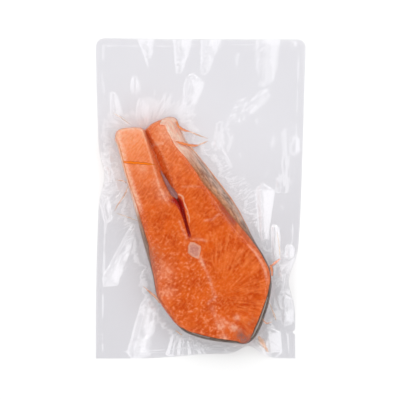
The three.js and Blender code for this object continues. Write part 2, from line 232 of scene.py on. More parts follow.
def swell(x, y, size, seed, waves=9):
    """Even noise of about unit height: plane waves of about the given length, in random directions."""
    draw = np.random.default_rng(seed)
    total = np.zeros_like(x)
    for turn, phase, stretch in draw.random((waves, 3)):
        angle = turn * 2 * np.pi
        pitch = 2 * np.pi / (size * (0.65 + 0.8 * stretch))
        total += np.sin(pitch * (x * np.cos(angle) + y * np.sin(angle)) + phase * 2 * np.pi)
    return total / math.sqrt(waves / 2)


def relief(x, y, rows):
    """Sum of swells, one for each row of size, seed and height."""
    return sum(height * swell(x, y, size, seed) for size, seed, height in rows)


def along_fish(points):
    """Distance along the fish's axis from the backbone, belly negative and back positive."""
    dx = points[..., 0] - BACKBONE[0]
    dy = points[..., 1] - BACKBONE[1]
    return dx * math.sin(AXIS_LEAN) - dy * math.cos(AXIS_LEAN)


def across_fish(points):
    """Distance across the fish's axis, right of it positive."""
    dx = points[..., 0] - BACKBONE[0]
    dy = points[..., 1] - BACKBONE[1]
    return dx * math.cos(AXIS_LEAN) + dy * math.sin(AXIS_LEAN)


def curve_through(points, count, closed):
    """Evenly spaced points on a smooth curve through the given ones, and its length: a cubic between each
    two, whose slopes weigh the neighbouring chords by the square roots of their lengths."""
    p = np.array(points, float)
    if closed:
        p = np.vstack([p[-1], p, p[:2]])
    else:
        p = np.vstack([2 * p[0] - p[1], p, 2 * p[-1] - p[-2]])
    before, start, end, after = p[:-3], p[1:-2], p[2:-1], p[3:]
    first, mid, last = [np.sqrt(np.linalg.norm(b - a, axis=1))[:, None] for a, b in
                        ((before, start), (start, end), (end, after))]
    leave = mid * ((start - before) / first - (end - before) / (first + mid) + (end - start) / mid)
    arrive = mid * ((end - start) / mid - (after - start) / (mid + last) + (after - end) / last)
    t = np.linspace(0, 1, 60, endpoint=False)[None, :, None]
    cubic = (start[:, None] + leave[:, None] * t
             + (-3 * start + 3 * end - 2 * leave - arrive)[:, None] * t ** 2
             + (2 * start - 2 * end + leave + arrive)[:, None] * t ** 3)
    dense = np.vstack([cubic.reshape(-1, p.shape[1]), end[-1:]])
    travel = np.concatenate([[0], np.cumsum(np.linalg.norm(np.diff(dense, axis=0), axis=1))])
    places = np.linspace(0, travel[-1], count, endpoint=not closed)
    even = np.stack([np.interp(places, travel, dense[:, k]) for k in range(p.shape[1])], axis=1)
    return even, travel[-1]


def left_edge(y):
    return BAG_LEFT + bells(y, LEFT_DRAWS)


def right_edge(y):
    return BAG_RIGHT + RIGHT_EDGE_SLANT * y - bells(y, RIGHT_DRAWS)


def top_edge(x):
    return BAG_TOP - bells(x, TOP_DRAWS)


def bottom_edge(x):
    return BAG_BOTTOM + bells(x, BOTTOM_DRAWS)


def bag_outline():
    """Four edges that draw in, with quarter-circle top corners and square bottom ones, clockwise."""
    corner_y = BAG_TOP - CORNER_RADIUS
    left_x = left_edge(corner_y) + CORNER_RADIUS
    right_x = right_edge(corner_y) - CORNER_RADIUS
    share = np.linspace(0, 1, EDGE_SAMPLES, endpoint=False)
    turn = np.linspace(0, np.pi / 2, CORNER_SAMPLES, endpoint=False)
    across = left_x + (right_x - left_x) * share
    down = corner_y + (BAG_BOTTOM - corner_y) * share
    back = right_edge(BAG_BOTTOM) + (left_edge(BAG_BOTTOM) - right_edge(BAG_BOTTOM)) * share
    up = BAG_BOTTOM + (corner_y - BAG_BOTTOM) * share
    right_corner = (right_x + CORNER_RADIUS * np.sin(turn),
                    top_edge(right_x) - CORNER_RADIUS + CORNER_RADIUS * np.cos(turn))
    left_corner = (left_x - CORNER_RADIUS * np.cos(turn),
                   top_edge(left_x) - CORNER_RADIUS + CORNER_RADIUS * np.sin(turn))
    runs = [(across, top_edge(across)), right_corner, (right_edge(down), down),
            (back, bottom_edge(back)), (left_edge(up), up), left_corner]
    return np.vstack([np.stack(run, axis=1) for run in runs])


def leaves_bag(start, through, edge):
    """Where the ray from each start through its second point crosses the bag's edge."""
    ray = (through - start)[:, None]
    step = (np.roll(edge, -1, axis=0) - edge)[None]
    gap = edge[None] - start[:, None]
    cross = ray[..., 0] * step[..., 1] - ray[..., 1] * step[..., 0]
    cross = np.where(np.abs(cross) < 1e-9, np.nan, cross)
    reach = (gap[..., 0] * step[..., 1] - gap[..., 1] * step[..., 0]) / cross
    share = (gap[..., 0] * ray[..., 1] - gap[..., 1] * ray[..., 0]) / cross
    hits = (reach > 0) & (share >= 0) & (share <= 1)
    nearest = np.where(hits, reach, np.inf).min(axis=1)
    return start + (through - start) * nearest[:, None]


def wall_lean(foot):
    """How far the cut face's edge lies inside the foot: most along the right belly."""
    along = along_fish(foot)
    from_corner = np.linalg.norm(foot - np.array(RIGHT_CORNER), axis=-1)
    belly = (RIGHT_BELLY_LEAN + bells(along, RIGHT_SHOULDER_LEANS)
             + RIGHT_CORNER_LEAN * bell(from_corner, RIGHT_CORNER_SPREAD))
    right = belly * (1 - smooth(along, *RIGHT_BACK_RANGE)) * smooth(foot[..., 0], *RIGHT_FLAP_END)
    return WALL_LEAN + np.where(across_fish(foot) > 0, right, bells(along, LEFT_BACK_LEANS))


def valley_lip(along, side):
    """Half-width of the valley over the cleft, on the right or left of the middle line."""
    sides = [most * stretch(along, *reach) for most, *reach in (RIGHT_LIP, LEFT_LIP)]
    return LIP_MIN + np.where(side > 0, *sides)


def from_cleft(points, root):
    """Distance from the cleft's line, which runs on past the spoke's root to the flaps' notch."""
    gap = points - root
    past = gap[..., 0] * NOTCH_DIRECTION[0] + gap[..., 1] * NOTCH_DIRECTION[1]
    beside = np.abs(gap[..., 0] * NOTCH_DIRECTION[1] - gap[..., 1] * NOTCH_DIRECTION[0])
    return np.where(past > 0, beside, np.linalg.norm(gap, axis=-1))


def spokes_around(count):
    """Spokes from the middle line through the steak's outline to the bag's edge, spread evenly over both,
    with more where the bag's edge turns. Gives arrays with one entry for each spoke."""
    outline, length = curve_through(STEAK_OUTLINE, SAMPLES, True)
    middle, _ = curve_through(MIDDLE_LINE, SAMPLES, False)
    nearest = np.searchsorted(along_fish(middle), along_fish(outline)).clip(0, SAMPLES - 1)
    root = middle[nearest]
    rim = leaves_bag(root, outline, bag_outline())
    step = np.roll(rim, -1, axis=0) - rim
    size = np.linalg.norm(step, axis=1)
    after = np.roll(step, -1, axis=0)
    turn = np.abs(step[:, 0] * after[:, 1] - step[:, 1] * after[:, 0]) / (size * np.roll(size, -1))
    share = ((1 - BAG_SHARE - CORNER_SHARE) / SAMPLES + BAG_SHARE * size / size.sum()
             + CORNER_SHARE * turn / turn.sum())
    measure = np.concatenate([[0], np.cumsum(share)])[:-1]
    pick = np.searchsorted(measure * count, np.arange(count) - 1e-9).clip(0, SAMPLES - 1)
    s = SimpleNamespace(root=root[pick], foot=outline[pick], rim=rim[pick])
    s.travel = pick / SAMPLES * length
    for x in (right_edge(BAG_BOTTOM), left_edge(BAG_BOTTOM)):
        corner = np.array([x, BAG_BOTTOM])
        s.rim[np.linalg.norm(s.rim - corner, axis=1).argmin()] = corner
    s.half_width = np.linalg.norm(s.foot - s.root, axis=1)
    s.out = (s.foot - s.root) / s.half_width[:, None]
    s.along = along_fish(s.foot)
    s.side = across_fish(s.foot) - across_fish(s.root)
    s.lean = wall_lean(s.foot)
    s.face = s.half_width - s.lean
    s.lip = np.minimum(valley_lip(along_fish(s.root), s.side), s.face * LIP_ROOM)
    s.room = np.linalg.norm(s.rim - s.foot, axis=1)
    wave, fine = [sum(part * np.sin(2 * np.pi * s.travel / period + phase) for period, part, phase in rows)
                  for rows in (TENT_WAVES, FINE_WAVES)]
    wave += 1
    flap_end = 1 - smooth(s.along, *FLAP_END_RANGE)
    reach = TENT_REACH + (FLAP_TENT_REACH - TENT_REACH) * flap_end
    s.tent_height = TENT_HEIGHT * wave * (1 + FINE_HEIGHT * fine)
    s.tent_reach = np.minimum(s.room * TENT_ROOM, reach * wave) * (1 + FINE_REACH * fine)
    return s


def face_height(points, from_edge, off_cleft, side, cleft_depth, slit_depth, slit_lip):
    """Height of the cut face: a slight dome that drops at the edge, less the cleft and the slit in front
    of the backbone, whose sides are S-shaped, plus the backbone's low bump."""
    along = along_fish(points)
    lip = valley_lip(along, side)
    slit_lip = np.minimum(lip, slit_lip)
    cleft = cleft_depth * stretch(along, *CLEFT_STRETCH) * (1 - smooth(off_cleft, 0, lip))
    slit = slit_depth * stretch(along, *SLIT_STRETCH) * (1 - smooth(off_cleft, 0, slit_lip))
    bone = BACKBONE_RISE * bell(np.linalg.norm(points - np.array(BACKBONE), axis=-1), BACKBONE_SPREAD)
    dome = FACE_DOME * smooth(from_edge, 0, DOME_REACH)
    drop = EDGE_DROP * np.exp(-from_edge / EDGE_REACH)
    return STEAK_THICKNESS - FACE_DOME + dome - drop - cleft - slit + bone


def every_spoke(shares):
    """The same shares for every spoke: rings by spokes."""
    return np.asarray(shares)[:, None] * np.ones(AROUND)


def from_root(s, reach):
    """Plan points at a distance from every spoke's root: rings by spokes by two."""
    return s.root + s.out * reach[..., None]


def film_face(s, reach):
    """Plan and height of the film over the cut face at a distance from every spoke's root."""
    plan = from_root(s, reach)
    return plan, face_height(plan, s.face - reach, from_cleft(plan, s.root), s.side,
                             CLEFT_DEPTH_FILM, SLIT_DEPTH_FILM, LIP_MIN)


def skirt_height(points, from_steak):
    """Height of the skirt's underside: straight-sided ridges with rounded ends, and the lifted edges. The
    second array says which points lie in a wide ridge."""
    x, y = points[..., 0], points[..., 1]
    height = np.zeros_like(x)
    in_wide = np.zeros(x.shape, bool)
    for x0, y0, x1, y1, first_width, last_width, first_rise, last_rise in FOLDS + SMALL_FOLDS:
        length = math.hypot(x1 - x0, y1 - y0)
        ux, uy = (x1 - x0) / length, (y1 - y0) / length
        along = (x - x0) * ux + (y - y0) * uy
        beyond = np.maximum(0, np.maximum(-along, along - length))
        across = (x - x0) * uy - (y - y0) * ux
        share = np.clip(along / length, 0, 1)
        width = first_width + (last_width - first_width) * share
        rise = first_rise + (last_rise - first_rise) * share
        t = across / width
        side = np.minimum((1 + t) / (1 + CREST), (1 - t) / (1 - CREST))
        level = side - FOLD_END * beyond / width
        height += CREST_RISE * rise * np.maximum(0, level)
        in_wide |= (level > -FACET_MARGIN) & (width > WIDE_FOLD)
    for cx, cy, spread, rise in EDGE_LIFTS:
        height += rise * bell(np.hypot(x - cx, y - cy), spread)
    return height * smooth(from_steak, 0, LIFT_START), in_wide


def skirt_rings(s, share):
    """Plan points of rings over the skirt, and how far each lies from the steak."""
    return s.foot + (s.rim - s.foot) * share[..., None], share * s.room


def seal_share(s, rings, band):
    """Shares from the rim inwards: even steps over the seal, even ones over the rest, fine at the steak."""
    seal = np.minimum(SEAL_RINGS_WIDTH, s.room * SEAL_RINGS_SHARE) / s.room
    edge = 1 - np.linspace(0, 1, band)[:, None] * seal
    rest = np.linspace(0, 1, rings)[1:, None] ** 0.85
    return np.vstack([edge, (1 - seal) * (1 - rest * 0.995)])


def seal_ribs(points):
    """Height of the fine ribs along the heat seals, sine waves of the distance from the bag's edge, and the
    share to which the plies are sealed."""
    x, y = points[..., 0], points[..., 1]
    from_side = np.minimum(x - left_edge(y), right_edge(y) - x)
    from_end = np.minimum(top_edge(x) - y, y - bottom_edge(x))
    (side_pitch, side_rise), (end_pitch, end_rise) = SIDE_RIBS, END_RIBS
    ribs = side_rise * np.sin(2 * np.pi * from_side / side_pitch)
    ribs *= 1 - smooth(from_side, SEAL_WIDTH - 0.6, SEAL_WIDTH)
    waves = np.sin(2 * np.pi * (from_end - 2) / end_pitch)
    ribs += end_rise * waves * bell(from_end - END_RIBS_PLACE, END_RIBS_SPREAD)
    sealed = 1 - smooth(np.minimum(from_side, from_end), SEAL_WIDTH - 1, SEAL_WIDTH + 2)
    return ribs, sealed


def put_tubes(name, tubes, values, shade, flip=False):
    """A mesh object in metres from closed tubes in millimetres: tubes by rings by points around by three.
    Four-sided faces join neighbouring rings, caps close both ends, and flip turns them all over. Values
    become point attributes."""
    index = np.arange(tubes[..., 0].size).reshape(tubes.shape[:3])
    near, far = index[:, :-1], index[:, 1:]
    sides = np.stack([near, far, np.roll(far, -1, axis=2), np.roll(near, -1, axis=2)], axis=-1)
    caps = np.stack([index[:, 0], index[:, -1, ::-1]], axis=1)
    way = -1 if flip else 1
    sides, caps = [rows.reshape(-1, rows.shape[-1])[:, ::way].tolist() for rows in (sides, caps)]
    mesh = bpy.data.meshes.new(name)
    mesh.from_pydata(tubes.reshape(-1, 3) * MM, [], sides + caps)
    made = bmesh.new()
    made.from_mesh(mesh)
    made.faces.ensure_lookup_table()
    bmesh.ops.triangulate(made, faces=made.faces[len(sides):], ngon_method="EAR_CLIP")
    made.to_mesh(mesh)
    made.free()
    for key, value in values.items():
        kind, field = ("FLOAT_VECTOR", "vector") if value.shape[-1] == 3 else ("FLOAT", "value")
        layer = mesh.attributes.new(key, kind, "POINT")
        layer.data.foreach_set(field, np.ascontiguousarray(value, np.float32).ravel())
    mesh.shade_smooth()
    mesh.validate()
    mesh.materials.append(make_material(shade))
    piece = bpy.data.objects.new(name, mesh)
    bpy.context.scene.collection.objects.link(piece)
    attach(piece, "root")
    return piece


def srgb(code):
    """The linear colour of an sRGB hex code: the standard curve, a power of 2.4 above the dark end."""
    parts = [int(code[k:k + 2], 16) / 255 for k in (0, 2, 4)]
    return tuple(c / 12.92 if c <= 0.04045 else ((c + 0.055) / 1.055) ** 2.4 for c in parts) + (1.0,)


def add(tree, kind, inputs=None, out=0, **settings):
    """Adds a node, sets its settings, and sets or links its inputs by name or number: 1 to 4 are the two
    ranges of a map range, and 0, 6 and 7 the share and the colours of a mix. Gives the output asked for."""
    node = tree.nodes.new("ShaderNode" + kind)
    for key, value in settings.items():
        setattr(node, key, value)
    for key, value in (inputs or {}).items():
        if isinstance(value, bpy.types.NodeSocket):
            tree.links.new(value, node.inputs[key])
        else:
            node.inputs[key].default_value = value
    return node.outputs[out] if len(node.outputs) else None


COLOURS = {"data_type": "RGBA", "out": 2}      # what makes a mix node mix colours


def make_material(shade):
    """A material named after the function shade, whose surface is what shade builds in its node tree."""
    material = bpy.data.materials.new(shade.__name__.replace("_", " "))
    material.use_nodes = True
    tree = material.node_tree
    tree.nodes.clear()
    add(tree, "OutputMaterial", {"Surface": shade(tree)})
    return material


def blown_laminate_film(tree):
    """Vacuum film, a nylon and polyethylene laminate, blown and heat sealed. It is clear with a faint
    lilac grey where two plies lie together, and mirrors soft white patches where it tilts to a light.
    Where it clings wet to the food it mirrors little."""
    # The film's IOR, turned over where light leaves the film
    inside = add(tree, "NewGeometry", out=6)
    bend = add(tree, "MapRange", {0: inside, 1: 0.0, 2: 1.0, 3: 1.6, 4: 1 / 1.6})
    place = add(tree, "TexCoord", out=3)
    # Painted shade: a broad mottle in the tint stands in for faint shading from the film's reflections, and
    # the tint darkens towards the bag's bottom end.
    painted_shade = add(tree, "TexNoise", {"Vector": place, "Scale": 1 / 0.03, "Detail": 2.0})
    painted_shade = add(tree, "MapRange", {0: painted_shade, 1: 0.35, 2: 0.65, 3: -0.3, 4: 0.3})
    lower = add(tree, "SeparateXYZ", {0: place}, out=1)
    lower = add(tree, "MapRange", {0: lower, 1: 0.11, 2: -0.08})
    painted_shade = add(tree, "Math", {0: painted_shade, 1: lower}, operation="ADD", use_clamp=True)
    # Light crosses four surfaces on its way to the ground and back, so each takes the fourth root
    low, high = (tuple(c ** 0.25 for c in srgb(code)) for code in ("eae9ee", "ecebf0"))
    tint = add(tree, "Mix", {0: painted_shade, 6: low, 7: high}, **COLOURS)
    clear = add(tree, "BsdfTransparent", {"Color": tint})
    gloss = add(tree, "BsdfGlossy", {"Color": srgb("ffffff"), "Roughness": 0.15})
    mirror = add(tree, "Fresnel", {"IOR": bend})
    mirror = add(tree, "Math", {0: mirror, 1: 0.08}, operation="MINIMUM")
    gloss_here = add(tree, "Attribute", out=2, attribute_name="gloss_here")
    mirror = add(tree, "Math", {0: mirror, 1: gloss_here}, operation="MULTIPLY")
    return add(tree, "MixShader", {0: mirror, 1: clear, 2: gloss})


def frozen_salmon_flesh(tree):
    """Frozen salmon muscle, sawn across the fibres. It is orange with a paler mottle, fine pale lines of
    fat between the flakes, and frosty flecks that are also painted sparkles of light. Its blood colour also
    paints shade into the cleft and the slit. Subsurface light softens it."""
    place = add(tree, "TexCoord", out=3)
    marks = {name: add(tree, "Attribute", out=2, attribute_name=name)
             for name in ("flap", "pale", "grey", "blood_and_shade", "mottle", "grain_here")}
    grain = add(tree, "Attribute", out=1, attribute_name="grain")

    broad = add(tree, "TexNoise", {"Vector": place, "Scale": 1 / 0.012, "Detail": 2.0})
    broad = add(tree, "MapRange", {0: broad, 1: 0.38, 2: 0.62})
    fine = add(tree, "TexNoise", {"Vector": place, "Scale": 1 / 0.0022, "Detail": 4.0, "Roughness": 0.62})
    fine_share = add(tree, "MapRange", {0: fine, 1: 0.4, 2: 0.7, 4: 0.8})
    patchy = add(tree, "MapRange", {0: fine, 1: 0.36, 2: 0.6, 3: 0.45, 4: 1.2})
    for name in ("pale", "grey"):
        marks[name] = add(tree, "Math", {0: marks[name], 1: patchy}, operation="MULTIPLY", use_clamp=True)
    streak = add(tree, "TexNoise", {"Vector": grain, "Scale": 1 / 1.1, "Detail": 2.0})
    line = add(tree, "MapRange", {0: streak, 1: 0.44, 2: 0.66, 4: 0.6})
    line = add(tree, "Math", {0: line, 1: marks["grain_here"]}, operation="MULTIPLY")
    # The flecks are frost, and also painted highlights: pale specks for light sparkling on the frost.
    frost_and_sparkle = add(tree, "TexNoise", {"Vector": place, "Scale": 1 / 0.0022, "Detail": 3.0, "Distortion": 0.1})
    frost_and_sparkle = add(tree, "MapRange", {0: frost_and_sparkle, 1: 0.53, 2: 0.72, 4: 0.75})
    frost_and_sparkle = add(tree, "Math", {0: frost_and_sparkle, 1: marks["mottle"]}, operation="MULTIPLY")

    flaky = add(tree, "MapRange", {0: streak, 1: 0.38, 2: 0.64})
    fatty = add(tree, "Mix", {0: flaky, 6: srgb("f58c4e"), 7: srgb("ffac7e")}, **COLOURS)
    colour = srgb("c44200")
    # The blood colour also paints shade into the cleft, the slit and the deep end of the belly cavity.
    for share, tone in ((broad, srgb("d85606")), (fine_share, srgb("e26a1a")), (marks["flap"], fatty),
                        (line, srgb("f08644")), (frost_and_sparkle, srgb("f29c72")), (marks["pale"], srgb("f8c0a0")),
                        (marks["grey"], srgb("966052")), (marks["blood_and_shade"], srgb("a01404"))):
        colour = add(tree, "Mix", {0: share, 6: colour, 7: tone}, **COLOURS)
    height = add(tree, "Math", {0: fine, 1: line}, operation="ADD")
    bump = add(tree, "Bump", {"Height": height, "Strength": 0.5, "Distance": 0.0004})
    return add(tree, "BsdfPrincipled", {
        "Base Color": colour, "Roughness": 0.45, "IOR": 1.38, "Specular IOR Level": 0.15, "Normal": bump,
        "Subsurface Weight": 0.2, "Subsurface Radius": (1.0, 0.35, 0.15), "Subsurface Scale": 0.0012,
    })


def scaled_salmon_skin(tree):
    """Salmon skin with small scales: pinkish white on the belly, then silver with painted gold glints of
    light off the scales, then dark grey brown over the back."""
    place = add(tree, "TexCoord", out=3)
    belly, back, rise, depth = (add(tree, "Attribute", out=2, attribute_name=name)
                                for name in ("belly", "back", "rise", "depth"))
    band = add(tree, "Attribute", out=1, attribute_name="band")
    scale = add(tree, "TexVoronoi", {"Vector": place, "Scale": 1 / 0.001}, out=1)
    grey = add(tree, "RGBToBW", {0: scale})
    streak = add(tree, "TexNoise", {"Vector": band, "Scale": 1.0, "Detail": 4.0, "Roughness": 0.65})
    tone = add(tree, "MapRange", {0: streak, 1: 0.36, 2: 0.62})
    stripe = add(tree, "Math", {0: depth, 1: math.pi}, operation="MULTIPLY")
    stripe = add(tree, "Math", {0: stripe}, operation="SINE")
    # The glint is a painted highlight: pale specks on the brightest scale cells stand for light off the
    # scales.
    upper, inner, edge, painted_glint, speck, stripe = (
        add(tree, "MapRange", {0: value, 1: low, 2: high, 4: most})
        for value, low, high, most in (
            (rise, 0.4, 0.75, 1.0), (rise, 0.8, 1.0, 0.75), (rise, 0.12, 0.03, 0.85),
            (grey, 0.6, 0.85, 0.4), (grey, 0.42, 0.2, 0.32), (stripe, 0.6, 0.95, 0.8)))
    middle, gold, pink, dark = (
        add(tree, "Mix", {0: tone, 6: srgb(low), 7: srgb(high)}, **COLOURS)
        for low, high in (("7c5a4a", "e8c8b4"), ("924a26", "dca074"), ("ffb694", "ffe0c8"),
                          ("33251c", "70604f")))
    pink = add(tree, "Mix", {0: speck, 6: pink, 7: srgb("c08a78")}, **COLOURS)
    dark = add(tree, "Mix", {0: stripe, 6: dark, 7: srgb("a39a94")}, **COLOURS)
    colour = middle
    for share, over in ((upper, gold), (painted_glint, srgb("ecd2b4")), (inner, srgb("b0622e")),
                        (speck, srgb("5a4236")), (belly, pink), (back, dark), (edge, srgb("cf6a34"))):
        colour = add(tree, "Mix", {0: share, 6: colour, 7: over}, **COLOURS)
    bump = add(tree, "Bump", {"Height": grey, "Strength": 0.4, "Distance": 0.0003})
    return add(tree, "BsdfPrincipled", {
        "Base Color": colour, "Roughness": 0.4, "IOR": 1.45, "Specular IOR Level": 0.25, "Metallic": 0.1,
        "Normal": bump,
    })


def sawn_fish_bone(tree):
    """Sawn fish bone: a greyish pink core with a paler ring round it that turns orange where it
    meets the flesh."""
    place = add(tree, "TexCoord", out=3)
    ring = add(tree, "Attribute", out=2, attribute_name="ring")
    grain = add(tree, "TexNoise", {"Vector": place, "Scale": 1 / 0.0015, "Detail": 2.0})
    uneven = add(tree, "MapRange", {0: grain, 1: 0.3, 2: 0.7, 3: -0.45, 4: 0.45})
    ring = add(tree, "Math", {0: ring, 1: uneven}, operation="ADD")
    rim = add(tree, "MapRange", {0: ring, 1: 1.0, 2: 2.0})
    colour = srgb("b86e5e")
    for share, over in ((grain, srgb("d08e7a")), (ring, srgb("e0a286")), (rim, srgb("e07a40"))):
        colour = add(tree, "Mix", {0: share, 6: colour, 7: over}, **COLOURS)
    return add(tree, "BsdfPrincipled", {
        "Base Color": colour, "Roughness": 0.4, "IOR": 1.45,
        "Subsurface Weight": 0.2, "Subsurface Radius": (1.0, 0.6, 0.4), "Subsurface Scale": 0.001,
    })


def salmon_juice(tree):
    """Salmon juice pressed thin between the plies: clear orange, deeper where it is thick."""
    thick, thin = (add(tree, "Attribute", out=2, attribute_name=name) for name in ("tone", "thin"))
    clear = add(tree, "BsdfTransparent")
    colour = add(tree, "Mix", {0: thick, 6: srgb("ffe8c0"), 7: srgb("f27c0a")}, **COLOURS)
    wet = add(tree, "BsdfPrincipled", {
        "Base Color": colour, "Roughness": 0.3, "IOR": 1.34, "Specular IOR Level": 0.2,
    })
    solid = add(tree, "MapRange", {0: thick, 1: 0.0, 2: 1.0, 3: 0.35, 4: 1.0})
    thin = add(tree, "MapRange", {0: thin, 1: 0.0, 2: 1.0, 3: 1.0, 4: 0.05})
    solid = add(tree, "Math", {0: solid, 1: thin}, operation="MULTIPLY")
    return add(tree, "MixShader", {0: solid, 1: clear, 2: wet})


def belly_membrane(tree):
    """The belly cavity's lining: a thin moist skin, pale pink at its cut edges and greyish mauve inside."""
    place = add(tree, "TexCoord", out=3)
    inner = add(tree, "Attribute", out=2, attribute_name="tone")
    mottle = add(tree, "TexNoise", {"Vector": place, "Scale": 1 / 0.002, "Detail": 2.0})
    pale, mauve = (add(tree, "Mix", {0: mottle, 6: srgb(low), 7: srgb(high)}, **COLOURS)
                   for low, high in (("e48c60", "f0b294"), ("8a5450", "b98680")))
    colour = add(tree, "Mix", {0: inner, 6: pale, 7: mauve}, **COLOURS)
    return add(tree, "BsdfPrincipled", {
        "Base Color": colour, "Roughness": 0.35, "IOR": 1.38, "Specular IOR Level": 0.3,
    })


def wall_rings(s, share, inset):
    """Points on the steak's side: it leans in from foot to face edge and bulges by a sine between."""
    lean = s.lean * share - WALL_BULGE * np.sin(np.pi * share) + inset
    return s.foot[None] - s.out[None] * lean[..., None]


def make_bag(s):
    """The two plies of the bag, one closed surface. The upper ply comes in over the skirt, rises in a
    tent z = h (1 - d / r)^2 to the steak's side, and follows the side and the cut face. The faces in wide
    folds are flat. Gives the upper ply's rings."""
    share = seal_share(s, rings=42, band=14)
    points, out = skirt_rings(s, share)
    ribs, sealed = seal_ribs(points)
    under, creased = skirt_height(points, out)
    loose = smooth(out, *RIPPLES_START) * (1 - sealed)
    ripple = relief(points[..., 0], points[..., 1], RIPPLES)
    tent = s.tent_height * np.square(np.maximum(0, 1 - out / s.tent_reach))
    lowest = PLY_LOW + PLY_GAP
    gap = PLY_TOP + (lowest - PLY_TOP) * sealed
    pleat = relief(s.foot[:, 0], s.foot[:, 1], PLEATS)
    pleat = pleat * stretch(out, *PLEATS_STRETCH) * (1 - sealed)
    pleat *= 0.35 + 0.65 * smooth(s.foot[:, 1], -30, 10)
    above = np.maximum(gap + tent + ripple * loose + pleat, lowest)
    skirt = np.dstack([points, under + above + ribs])
    share = every_spoke(np.linspace(0, 1, 11)[1:])
    low = PLY_TOP + s.tent_height
    edge = film_face(s, s.face)[1]
    wall = np.dstack([wall_rings(s, share, 0), low + (edge - low) * share])
    share = every_spoke(1 - np.linspace(0, 1, 36)[1:] ** 1.3)
    from_middle = s.lip + (s.face - s.lip) * share
    from_middle = np.vstack([from_middle, s.lip * np.linspace(1, 0.06, 9)[1:, None]])
    face = np.dstack(film_face(s, from_middle))
    top = np.concatenate([skirt, wall, face])

    share = seal_share(s, rings=20, band=6)[::-1]
    points, out = skirt_rings(s, share)
    ribs, sealed = seal_ribs(points)
    lower = np.dstack([points, skirt_height(points, out)[0] + PLY_LOW + ribs])
    plan = from_root(s, every_spoke([0.1, 0.45, 0.8]) * (s.half_width - 1))
    base = np.dstack([plan, np.full(plan.shape[:2], FILM_BASE)])
    both = np.concatenate([base, lower[:-1], top])
    gloss_here = 1 + 0.7 * smooth(-both[..., 1], -60, 30)
    gloss_here[:len(base)] = CLING_GLOSS
    gloss_here[-len(wall) - len(face):] = CLING_GLOSS
    values = {"gloss_here": gloss_here}
    piece = put_tubes("vacuum_bag", both[None], values, blown_laminate_film)
    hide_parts("vacuum_pack")
    rounded = np.ones(len(piece.data.polygons), bool)
    first = (len(both) - len(top)) * AROUND
    rounded[first:first + creased.size] = ~creased.ravel()
    piece.data.polygons.foreach_set("use_smooth", rounded)
    return top


# The skin at places on the outline: x, y, the share of the steak's side that it covers, and its thickness
SKIN_EDGE = [
    (-2.7, 37.3, 1.0, 0.8), (16.6, 18.1, 1.0, 0.8), (21.9, 6.5, 0.87, 0.8), (29.6, -8.9, 0.78, 0.8),
    (35.8, -20.4, 0.62, 0.8), (41.2, -30.4, 0.54, 0.8), (45.0, -38.1, 0.7, 0.8), (48.1, -43.5, 0.85, 0.8),
    (53.5, -58.9, 0.75, 0.8), (54.4, -66.0, 1.0, 0.5), (53.6, -74.0, 1.0, 1.1), (52.0, -82.0, 1.0, 1.9),
    (44.3, -101.3, 1.0, 2.8), (40.0, -107.0, 1.0, 1.4), (35.0, -111.3, 0.75, 0.8), (30.4, -109.7, 1.0, 1.0),
    (-4.2, -105.9, 1.0, 1.3), (-15.8, -100.5, 0.95, 1.0), (-20.4, -95.1, 0.35, 0.8),
    (-31.2, -78.2, 0.35, 0.8), (-34.3, -70.5, 0.5, 0.8), (-38.9, -56.6, 0.45, 0.8),
    (-41.6, -45.0, 0.65, 0.8), (-43.5, -38.0, 0.9, 0.8),
]
SKIN_START = (-29.5, 61.2)
SKIN_STOP = (-66, 46)
SKIN_TAPER = 10         # spokes over which its ends thin out


def skin_edge(s):
    """The share of the side that the skin covers, and its thickness, at each spoke, worked out between
    the places above."""
    places = np.array(SKIN_EDGE)
    near = np.argmin(np.hypot(s.foot[:, 0] - places[:, :1], s.foot[:, 1] - places[:, 1:2]), axis=1)
    return [np.interp(s.travel, s.travel[near], places[:, k]) for k in (2, 3)]


def make_flesh(s):
    """The steak's flesh, one closed surface: the underside, the side inside the skin, the cut face and
    the cleft's walls. The face carries fine relief of flakes, and sinks where the backbone stands."""
    inside = s.half_width - SKIN_THICKNESS - FILM_GAP
    plan = from_root(s, every_spoke([0.05, 0.3, 0.6, 0.9]) * inside)
    base = np.dstack([plan, np.full(plan.shape[:2], FLESH_BASE)])
    share = every_spoke(np.linspace(0, 1, 14))
    edge = film_face(s, s.face)[1] - FILM_GAP
    covered, thick = skin_edge(s)
    bare = smooth(share, covered - 0.12, covered - 0.01) * np.clip(12 * (1 - covered), 0, 1)
    inset = FILM_GAP - 0.05 + thick * (1 - bare)
    wall = np.dstack([wall_rings(s, share, inset), FLESH_FOOT + (edge - FLESH_FOOT) * share])
    share = every_spoke(1 - np.linspace(0, 1, 62)[1:])
    face_edge = s.face - inset[-1]
    from_middle = s.lip + (face_edge - s.lip) * share
    inner = np.array([0.8, 0.62, 0.46, 0.34, 0.24, 0.16, 0.1, 0.05])[:, None]
    from_middle = np.vstack([from_middle, s.lip * inner])
    plan = from_root(s, from_middle)
    from_edge = s.face - from_middle
    off_cleft = from_cleft(plan, s.root)
    height = face_height(plan, from_edge, off_cleft, s.side, CLEFT_DEPTH_FLESH, SLIT_DEPTH_FLESH,
                         SLIT_LIP_FLESH)
    x, y = plan[..., 0], plan[..., 1]
    flakes = relief(x, y, FLAKES)
    flakes -= BONE_SINK * (1 - smooth(np.hypot(x - BACKBONE[0], y - BACKBONE[1]), 4.4, BONE_RADIUS))
    flakes = np.clip(flakes, -BONE_SINK, FLAKE_MOST) * smooth(from_edge, 0, 4)
    face = np.dstack([plan, height - FILM_GAP - FLAKE_MOST + flakes])
    rings = np.concatenate([base, wall, face])
    values = flesh_marks(s, rings, len(base) + len(wall), from_middle, off_cleft)
    put_tubes("salmon_flesh", rings[None], values, frozen_salmon_flesh)


FAN_CENTRE = (10, -78)   # where the right lobe's fibres fan out from
